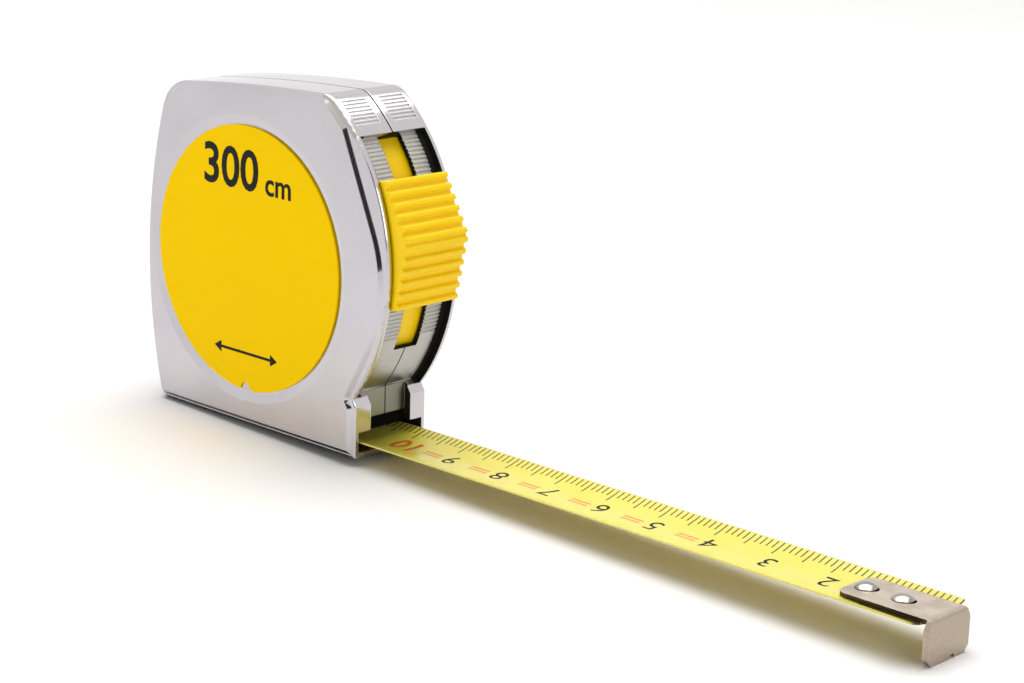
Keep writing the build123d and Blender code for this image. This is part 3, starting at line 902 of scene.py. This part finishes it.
@dataclass
class Blade:
    """Hollow printed blade in two lengths: the root, to just past the mouth, and the run to the hook."""

    lacquer: Material
    back: Material
    black: Material
    red: Material
    pale_red: Material
    zero_x: float
    width_mm: float = 12.7
    thickness_mm: float = 0.25
    curve_mm: float = 18.2
    bend_x_mm: float = 10.4
    bend_mm: float = 8.0
    lean_deg: float = 30.1
    sag_x_mm: float = 23.0
    sag_run_mm: float = 3.0
    sag_mm: float = 0.12
    flat_end_x_mm: float = 3.5
    split_x_mm: float = 35.0
    root_window_mm: Pair = (23.0, 63.0)
    run_window_mm: Pair = (2.0, 112.0)
    root_steps: int = 48
    run_steps: int = 60
    across: int = 16
    under_lean: float = -0.3
    figure_height_mm: float = 3.4
    figure_swell: float = 0.0
    tenth_height_mm: float = 4.2
    tenth_swell: float = 0.026
    figure_ahead_mm: float = 1.5
    figure_y_mm: float = 0.1
    last_figure: int = 10
    print_mm: float = 0.012
    slice_mm: float = 0.5
    slices: int = 8
    stow_x_mm: float = 12.0
    retract_mm: float = 100.5
    follow_mm: float = 50000.0
    stamp_mm: Pair = (3.6, 0.4)
    stamp_rows_mm: tuple[float, ...] = (-0.45, 0.45)
    stamps: tuple[float, ...] = (4.4, 5.4, 6.4, 7.4, 8.4, 9.4)

    def __post_init__(self) -> None:
        """Takes the blade's place from its CAD node."""
        self.low, self.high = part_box("blade")
        self.top_z = self.low.z + self.thickness_mm * MM

    def build(self) -> None:
        """Builds both lengths and their figures."""
        split = self.split_x_mm * MM
        root = self.ribbon("blade_root", self.low.x, split, self.root_steps)
        self.join(root)
        run = self.ribbon("blade_run", split, self.high.x, self.run_steps)
        self.join(run)
        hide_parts("blade")
        for figure in range(1, self.last_figure + 1):
            self.print_figure(figure)
        for place in self.stamps:
            self.print_stamp(place)

    def hollow(self, y: float) -> float:
        """Rise of the hollow's surface at a distance from the middle."""
        return self.curve_mm * MM - math.sqrt((self.curve_mm * MM) ** 2 - y * y)

    def way_z(self, x: float) -> float:
        """Traces the blade's middle line, which dips where the hook draws in and leans up to the coil.

        Args:
            x: a place along the blade.

        Returns:
            Its rise above the level run.
        """
        lean = math.radians(self.lean_deg)
        radius = self.bend_mm * MM
        back = self.bend_x_mm * MM - x
        bend_run = radius * math.sin(lean)
        sag = -self.sag_mm * MM * min(1.0, max(0.0, (self.sag_x_mm - x / MM) / self.sag_run_mm))
        if back <= 0:
            return sag
        if back < bend_run:
            return sag + radius - math.sqrt(radius * radius - back * back)
        return sag + radius * (1 - math.cos(lean)) + (back - bend_run) * math.tan(lean)

    def ribbon(self, name: str, start_x: float, end_x: float, steps: int) -> Piece:
        """Builds one length of the blade.

        Args:
            name: the piece's name.
            start_x: where it starts.
            end_x: where it ends.
            steps: how many faces it has along its length.

        Returns:
            The piece.
        """
        shape = bmesh.new()
        bmesh.ops.create_grid(shape, x_segments=steps, y_segments=self.across, size=0.5)
        bmesh.ops.scale(shape, verts=shape.verts, vec=(end_x - start_x, self.width_mm * MM, 1.0))
        bmesh.ops.translate(shape, verts=shape.verts, vec=((start_x + end_x) / 2, 0.0, 0.0))
        flat_end = self.flat_end_x_mm * MM
        for vert in shape.verts:
            share = min(1.0, max(0.0, (vert.co.x - self.low.x) / (flat_end - self.low.x)))
            turn = vert.co.y / (self.curve_mm * MM)
            curved = self.curve_mm * MM * math.sin(turn)
            vert.co.y = (1 - share) * vert.co.y + share * curved
            vert.co.z = self.top_z + self.way_z(vert.co.x) + share * self.hollow(curved)
        bmesh.ops.solidify(shape, geom=shape.faces[:], thickness=self.thickness_mm * MM)
        bmesh.ops.recalc_face_normals(shape, faces=shape.faces)
        for face in shape.faces:
            face.material_index = int(face.normal.z < self.under_lean)
        piece = to_piece(shape, name, self.lacquer, self.back, sharp_deg=RIBBON_SHARP_DEG)
        return piece

    def join(self, piece: Piece) -> None:
        """Fixes a piece's place in its mesh.

        Args:
            piece: the piece.
        """
        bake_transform(piece)
        LOG.info("%s slides with the blade", piece.name)

    def follow(self, piece: Piece) -> None:
        """Fixes a small print's place in its mesh, as for the blade's lengths.

        Args:
            piece: the print.
        """
        self.join(piece)

    def lay(self, shape: Shape, name: str, place_cm: float, ink: Material) -> None:
        """Lays a flat print into the hollow, head towards the near edge.

        Args:
            shape: the print, drawn in X and Y.
            name: the piece's name.
            place_cm: its place on the scale.
            ink: its finish.
        """
        x = self.zero_x + (self.figure_ahead_mm - 10.0 * place_cm) * MM
        place = Matrix.Translation((x, self.figure_y_mm * MM, 0.0)) @ Matrix.Rotation(math.pi, 4, "Z")
        bmesh.ops.transform(shape, matrix=place, verts=shape.verts)
        for step in range(-self.slices, self.slices + 1):
            cut_across(shape, step * self.slice_mm * MM)
        for vert in shape.verts:
            vert.co.z = self.top_z + self.hollow(vert.co.y) + self.way_z(vert.co.x) + self.print_mm * MM
        thicken(shape, Vector((0.0, 0.0, -2 * self.print_mm * MM)))
        self.follow(to_piece(shape, name, ink, sharp_deg=PRINT_SHARP_DEG))

    def print_figure(self, figure: int) -> None:
        """Prints one centimetre figure, each tenth one in red.

        Args:
            figure: the figure.
        """
        height_mm, swell, ink = self.figure_height_mm, self.figure_swell, self.black
        if figure % 10 == 0:
            height_mm, swell, ink = self.tenth_height_mm, self.tenth_swell, self.red
        self.lay(text_shape(str(figure), height_mm, swell), f"figure_{figure:02d}", figure, ink)

    def print_stamp(self, place_cm: float) -> None:
        """Prints one small red double bar between two figures.

        Args:
            place_cm: its place on the scale.
        """
        shape = bmesh.new()
        length, width = self.stamp_mm
        for row in self.stamp_rows_mm:
            bar = bmesh.ops.create_grid(shape, x_segments=1, y_segments=1, size=0.5)["verts"]
            bmesh.ops.scale(shape, verts=bar, vec=(length * MM, width * MM, 1.0))
            bmesh.ops.translate(shape, verts=bar, vec=(0.0, row * MM, 0.0))
        self.lay(shape, f"index_mark_{int(place_cm):02d}", place_cm, self.pale_red)


@dataclass
class EndHook:
    """Pressed end hook with its plate's side faces painted dark as shade, and its two rivets."""

    steel: Material
    # dark finish of the plate's sides: a painted shade
    sheared: Material
    rivet: Material
    lip_mm: float = 1.6
    side_lean: float = 0.3

    def build(self) -> None:
        """Dresses the hook and the rivets."""
        shape = merged_shape("hook")
        lip_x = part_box("hook")[1].x - self.lip_mm * MM
        for face in shape.faces:
            on_plate = face.calc_center_median().x < lip_x
            # The plate's side faces take the dark finish, a painted shade along the plate's edge.
            face.material_index = int(on_plate and abs(face.normal.z) < self.side_lean)
        piece = to_piece(shape, "hook_pressing", self.steel, self.sheared, sharp_deg=SHARP_DEG)
        finish_piece(even_shading(piece), Body.HOOK, Slot.HOOK, "hook")
        rivets = merged_copy("hook_rivets", "hook_rivet_heads", self.rivet)
        finish_piece(rivets, Body.BLADE, Slot.HOOK, "hook_rivets")


@dataclass(frozen=True)
class Winding:
    """Ribbon wound about the spool's axis in the place of a CAD node."""

    node: str
    inner_mm: float
    outer_mm: float
    turns: int
    band_mm: float
    steps: int = 40

    def radius_mm(self, step: int) -> float:
        """Radius of the spiral after a number of steps."""
        return self.inner_mm + (self.outer_mm - self.inner_mm) * step / (self.turns * self.steps)

    def build(self, slot: Slot, material: Material) -> None:
        """Winds the ribbon.

        Args:
            slot: the record's slot of its finish.
            material: its finish.
        """
        low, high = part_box(self.node)
        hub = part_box("centre_post")
        axis = (hub[0] + hub[1]) / 2
        home = Matrix.Translation(-axis)
        turn = Matrix.Rotation(2 * math.pi / self.steps, 3, "Y")
        shape = bmesh.new()
        ends = [shape.verts.new((axis.x + self.inner_mm * MM, y, axis.z)) for y in (low.y, high.y)]
        edge = shape.edges.new(ends)
        for step in range(self.turns * self.steps):
            grown = bmesh.ops.extrude_edge_only(shape, edges=[edge])["geom"]
            ends = [item for item in grown if isinstance(item, bmesh.types.BMVert)]
            edge = shape.edges.get(ends)
            bmesh.ops.rotate(shape, verts=ends, cent=axis, matrix=turn)
            growth = self.radius_mm(step + 1) / self.radius_mm(step)
            bmesh.ops.scale(shape, verts=ends, vec=(growth, 1.0, growth), space=home)
        bmesh.ops.recalc_face_normals(shape, faces=shape.faces)
        bmesh.ops.solidify(shape, geom=shape.faces[:], thickness=self.band_mm * MM)
        bmesh.ops.recalc_face_normals(shape, faces=shape.faces)
        piece = to_piece(shape, f"{self.node}_ribbon", material, sharp_deg=RIBBON_SHARP_DEG)
        finish_piece(piece, Body.SPOOL, slot, self.node)


@dataclass
class Spool:
    """Works inside the case: drum, post, discs, and the wound blade and spring."""

    moulding: Material
    disc: Material
    screw: Material
    spring: Material
    lacquer: Material
    coil: Winding = Winding("coil", 11.6, 17.8, 24, 0.14)
    mainspring: Winding = Winding("mainspring", 4.8, 10.2, 9, 0.2)

    def build(self) -> None:
        """Dresses the rigid works and winds the two ribbons."""
        for node in ("drum", "drum_cover", "centre_post"):
            dress_node(node, self.moulding)
        for node in ("wear_disc_near", "wear_disc_far"):
            dress_node(node, self.disc)
        dress_node("post_screw", self.screw)
        self.coil.build(Slot.BLADE, self.lacquer)
        self.mainspring.build(Slot.SPRING, self.spring)


@dataclass(frozen=True)
class Lamp:
    """Broad soft lamp of an even brightness over its area."""

    name: str
    place: Triple
    size: Pair
    level: float
    in_reflections: bool = True

    def hang(self, target: Vector) -> None:
        """Hangs the lamp.

        Args:
            target: what it points at.
        """
        width, depth = self.size
        lamp = bpy.data.lights.new(self.name, "AREA")
        lamp.shape = "RECTANGLE"
        lamp.size = width
        lamp.size_y = depth
        lamp.energy = self.level * math.pi * width * depth
        hung = link_object(f"{self.name}_lamp", lamp)
        hung.visible_glossy = self.in_reflections
        turn = (target - Vector(self.place)).to_track_quat("-Z", "Y")
        hung.matrix_world = Matrix.Translation(self.place) @ turn.to_matrix().to_4x4()


@dataclass
class Studio:
    """Pale floor, soft light, dark card behind the camera, and the camera itself."""

    eye_mm: Triple = (283.77, -252.26, 113.60)
    around_deg: float = 42.831
    down_deg: float = 14.835
    roll_deg: float = 1.907
    focal_px: float = 2439.7
    image_px: float = 1024.0
    sensor_mm: float = 36.0
    rest_x_mm: Pair = (-19.5, 127.4)
    rest_z_mm: Pair = (-0.25, -3.7)
    floor_gap_mm: float = 0.02
    floor_half: float = 6.0
    floor_colour: Colour = (0.93, 0.922, 0.915)
    floor_tint: Colour = (0.94, 0.935, 0.93)
    floor_rough: Pair = (0.5, 0.6)
    floor_gloss: float = 0.03
    sweep: Pair = (0.35, 1.1)
    sky: float = 0.16
    sky_colour: Colour = (1.0, 0.995, 0.985)
    card_place: Triple = (0.345, -0.41, 0.19)
    card_size: Pair = (0.3, 0.36)
    card_colours: tuple[Colour, Colour] = ((0.01, 0.01, 0.012), (0.02, 0.02, 0.022))
    lamp_target: Triple = (0.03, 0.0, 0.02)
    lamps: tuple[Lamp, ...] = (
        Lamp("overhead", (-0.1, 0.17, 1.0), (1.2, 0.9), 3.9),
        Lamp("fill", (-0.3, -1.3, 0.18), (1.2, 0.3), 4.3, in_reflections=False),
        Lamp("side", (1.25, -0.3, 0.45), (0.9, 0.6), 2.5),
    )

    def build(self) -> None:
        """Sets up the floor, the light and the camera."""
        bpy.context.scene.view_settings.view_transform = "Standard"
        self.floor()
        self.world()
        for lamp in self.lamps:
            lamp.hang(Vector(self.lamp_target))
        self.card()
        self.camera()

    def floor(self) -> None:
        """Lays the floor under the base's rear end and the hook's lip."""
        shape = bmesh.new()
        bmesh.ops.create_grid(shape, x_segments=2, y_segments=2, size=self.floor_half)
        (rear_x, front_x), (rear_z, front_z) = self.rest_x_mm, self.rest_z_mm
        tilt = math.atan2(rear_z - front_z, front_x - rear_x)
        place = Matrix.Translation((rear_x * MM, 0.0, rear_z * MM - self.floor_gap_mm * MM))
        bmesh.ops.transform(shape, matrix=place @ Matrix.Rotation(tilt, 4, "Y"), verts=shape.verts)
        graph = NodeGraph("pale table")
        wash = graph.noise(per_metre=6.0)
        away = graph.add("ShaderNodeVectorMath", operation="LENGTH")
        graph.feed(away.inputs[0], graph.place)
        far = graph.span(away.outputs["Value"], 0.0, 1.0, *self.sweep)
        near = graph.blend(graph.span(wash, 0.0, 1.0), self.floor_colour, self.floor_tint)
        graph.fill(
            Base_Color=graph.blend(far, near, (0.0, 0.0, 0.0)),
            Roughness=graph.span(wash, *self.floor_rough),
            Specular_IOR_Level=self.floor_gloss,
            Emission_Color=(1.0, 1.0, 1.0),
            Emission_Strength=far,
        )
        to_piece(shape, "floor", graph.material)

    def world(self) -> None:
        """Makes the surroundings white to the eye and in reflections, and a soft light on the object."""
        world = bpy.data.worlds.new("studio")
        bpy.context.scene.world = world
        world.use_nodes = True
        tree = world.node_tree
        back = tree.nodes["Background"]
        path = tree.nodes.new("ShaderNodeLightPath")
        seen = path.outputs["Is Camera Ray"]
        for name in ("Is Glossy Ray", "Is Transmission Ray"):
            either = tree.nodes.new("ShaderNodeMath")
            either.operation = "MAXIMUM"
            tree.links.new(seen, either.inputs[0])
            tree.links.new(path.outputs[name], either.inputs[1])
            seen = either.outputs[0]
        level = tree.nodes.new("ShaderNodeMapRange")
        level.inputs["To Min"].default_value = self.sky
        level.inputs["To Max"].default_value = 1.0
        tree.links.new(seen, level.inputs["Value"])
        tree.links.new(level.outputs["Result"], back.inputs["Strength"])
        back.inputs["Color"].default_value = (*self.sky_colour, 1.0)

    def look(self) -> Matrix:
        """Returns the camera's turn, with its columns right, up and back."""
        around, down, roll = map(math.radians, (self.around_deg, self.down_deg, self.roll_deg))
        level = math.cos(down)
        forward = Vector((-math.sin(around) * level, math.cos(around) * level, -math.sin(down)))
        right = Vector((math.cos(around), math.sin(around), 0.0))
        up = right.cross(forward)
        turned_right = math.cos(roll) * right + math.sin(roll) * up
        turned_up = -math.sin(roll) * right + math.cos(roll) * up
        return Matrix((turned_right, turned_up, -forward)).transposed()

    def camera(self) -> None:
        """Sets the camera where the photograph was taken."""
        lens = bpy.data.cameras.new("camera")
        lens.sensor_fit = "HORIZONTAL"
        lens.sensor_width = self.sensor_mm
        lens.lens = self.focal_px * self.sensor_mm / self.image_px
        lens.clip_start = 0.01
        lens.clip_end = 50.0
        stand = link_object("camera", lens)
        stand.matrix_world = Matrix.Translation(Vector(self.eye_mm) * MM) @ self.look().to_4x4()
        bpy.context.scene.camera = stand

    def card(self) -> None:
        """Stands a dark card behind the camera, seen only in reflections."""
        shape = bmesh.new()
        bmesh.ops.create_grid(shape, x_segments=1, y_segments=1, size=0.5)
        bmesh.ops.scale(shape, verts=shape.verts, vec=(*self.card_size, 1.0))
        stand = Matrix.Translation(self.card_place) @ self.look().to_4x4()
        bmesh.ops.transform(shape, matrix=stand, verts=shape.verts)
        graph = NodeGraph("dark card")
        cloth = graph.noise(per_metre=20.0, detail=2.0)
        graph.fill(Base_Color=graph.blend(cloth, *self.card_colours), Roughness=0.9)
        card = to_piece(shape, "dark_card", graph.material)
        card.visible_camera = False
        card.visible_diffuse = False
        card.visible_shadow = False


def main() -> None:
    """Builds the studio and every sub-assembly."""
    logging.basicConfig(level=logging.INFO, format="%(name)s: %(message)s")
    hook_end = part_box("hook")[1].x
    zero_x = hook_end - LIP_MM * MM
    plating = Plating().make()
    satin = Plating("satin plating", (0.47, 0.46, 0.43), (0.42, 0.41, 0.38), SATIN_ROUGH).make()
    # Darker plating for the lintel: a painted shade and dark reflection of the mouth.
    worn = Plating("plating with painted shade", (0.25, 0.245, 0.19), (0.21, 0.205, 0.155), SATIN_ROUGH).make()
    screw = Steel("screw steel", (0.60, 0.60, 0.61), (0.42, 0.41, 0.40), TURNED).make()
    spring = Steel("spring steel", (0.20, 0.22, 0.28), (0.12, 0.12, 0.15), (900.0, 20.0, 900.0)).make()
    lip_x = hook_end - EndHook.lip_mm * MM
    # The hook's lip, beyond lip_x, is painted darker as shade and dark reflection.
    pressed = Steel("pressed steel", (0.60, 0.51, 0.415), (0.38, 0.31, 0.235), dull_from_x=lip_x).make()
    rivet = Steel("rivet steel", (0.36, 0.34, 0.31), (0.22, 0.2, 0.17), TURNED, (0.16, 0.24)).make()
    # Near-black steel for the hook plate's sides: a painted shade.
    sheared = Steel("plate side steel with painted shade", (0.10, 0.08, 0.05), (0.05, 0.04, 0.02), rough=(0.4, 0.6)).make()
    yellow = Moulding(
        "yellow moulding", (0.99, 0.65, 0.001), (0.995, 0.675, 0.002), glow=0.1, gloss=0.28
    ).make()
    # Unplated black moulding, partly real and partly a painted shade in the case's recesses and under its
    # base.
    bare = Moulding("unplated moulding and painted shade", (0.006, 0.006, 0.005), (0.011, 0.011, 0.009), MATT, gloss=0.1).make()
    dark = Moulding("dark moulding", (0.03, 0.03, 0.032), (0.045, 0.045, 0.046), MATT).make()
    # Deep black for the mouth's liner, a real part, also painting the shade inside the mouth.
    black = Moulding("black liner and painted shade", (0.0015,) * 3, (0.003,) * 3, (0.6, 0.75), gloss=0.03).make()
    pale = Moulding("slip disc", (0.70, 0.70, 0.67), (0.62, 0.62, 0.60), (0.4, 0.5)).make()
    rubber = Moulding("brake rubber", (0.012,) * 3, (0.025,) * 3, (0.7, 0.85)).make()
    back = Moulding("blade back", (0.60, 0.46, 0.02), (0.66, 0.51, 0.03), gloss=0.3).make()
    film = Film().make()
    black_ink = Ink("black ink", (0.008, 0.008, 0.008), (0.02, 0.018, 0.012)).make()
    red_ink = Ink("red ink", (0.66, 0.15, 0.008), (0.74, 0.27, 0.03)).make()
    pale_red_ink = Ink("pale red ink", (0.84, 0.31, 0.11), (0.86, 0.46, 0.16)).make()
    # The lacquer carries a painted shadow of the hook's plate.
    lacquer = Lacquer(zero_x, BLADE_EDGE_MM * MM).make()
    Studio().build()
    CaseShell(plating, satin, bare, worn, screw, black).build()
    Labels(film, black_ink).build()
    Lock(yellow, rubber).build()
    Blade(lacquer, back, black_ink, red_ink, pale_red_ink, zero_x).build()
    EndHook(pressed, sheared, rivet).build()
    Spool(dark, pale, screw, spring, lacquer).build()


if __name__ == "__main__":
    main()
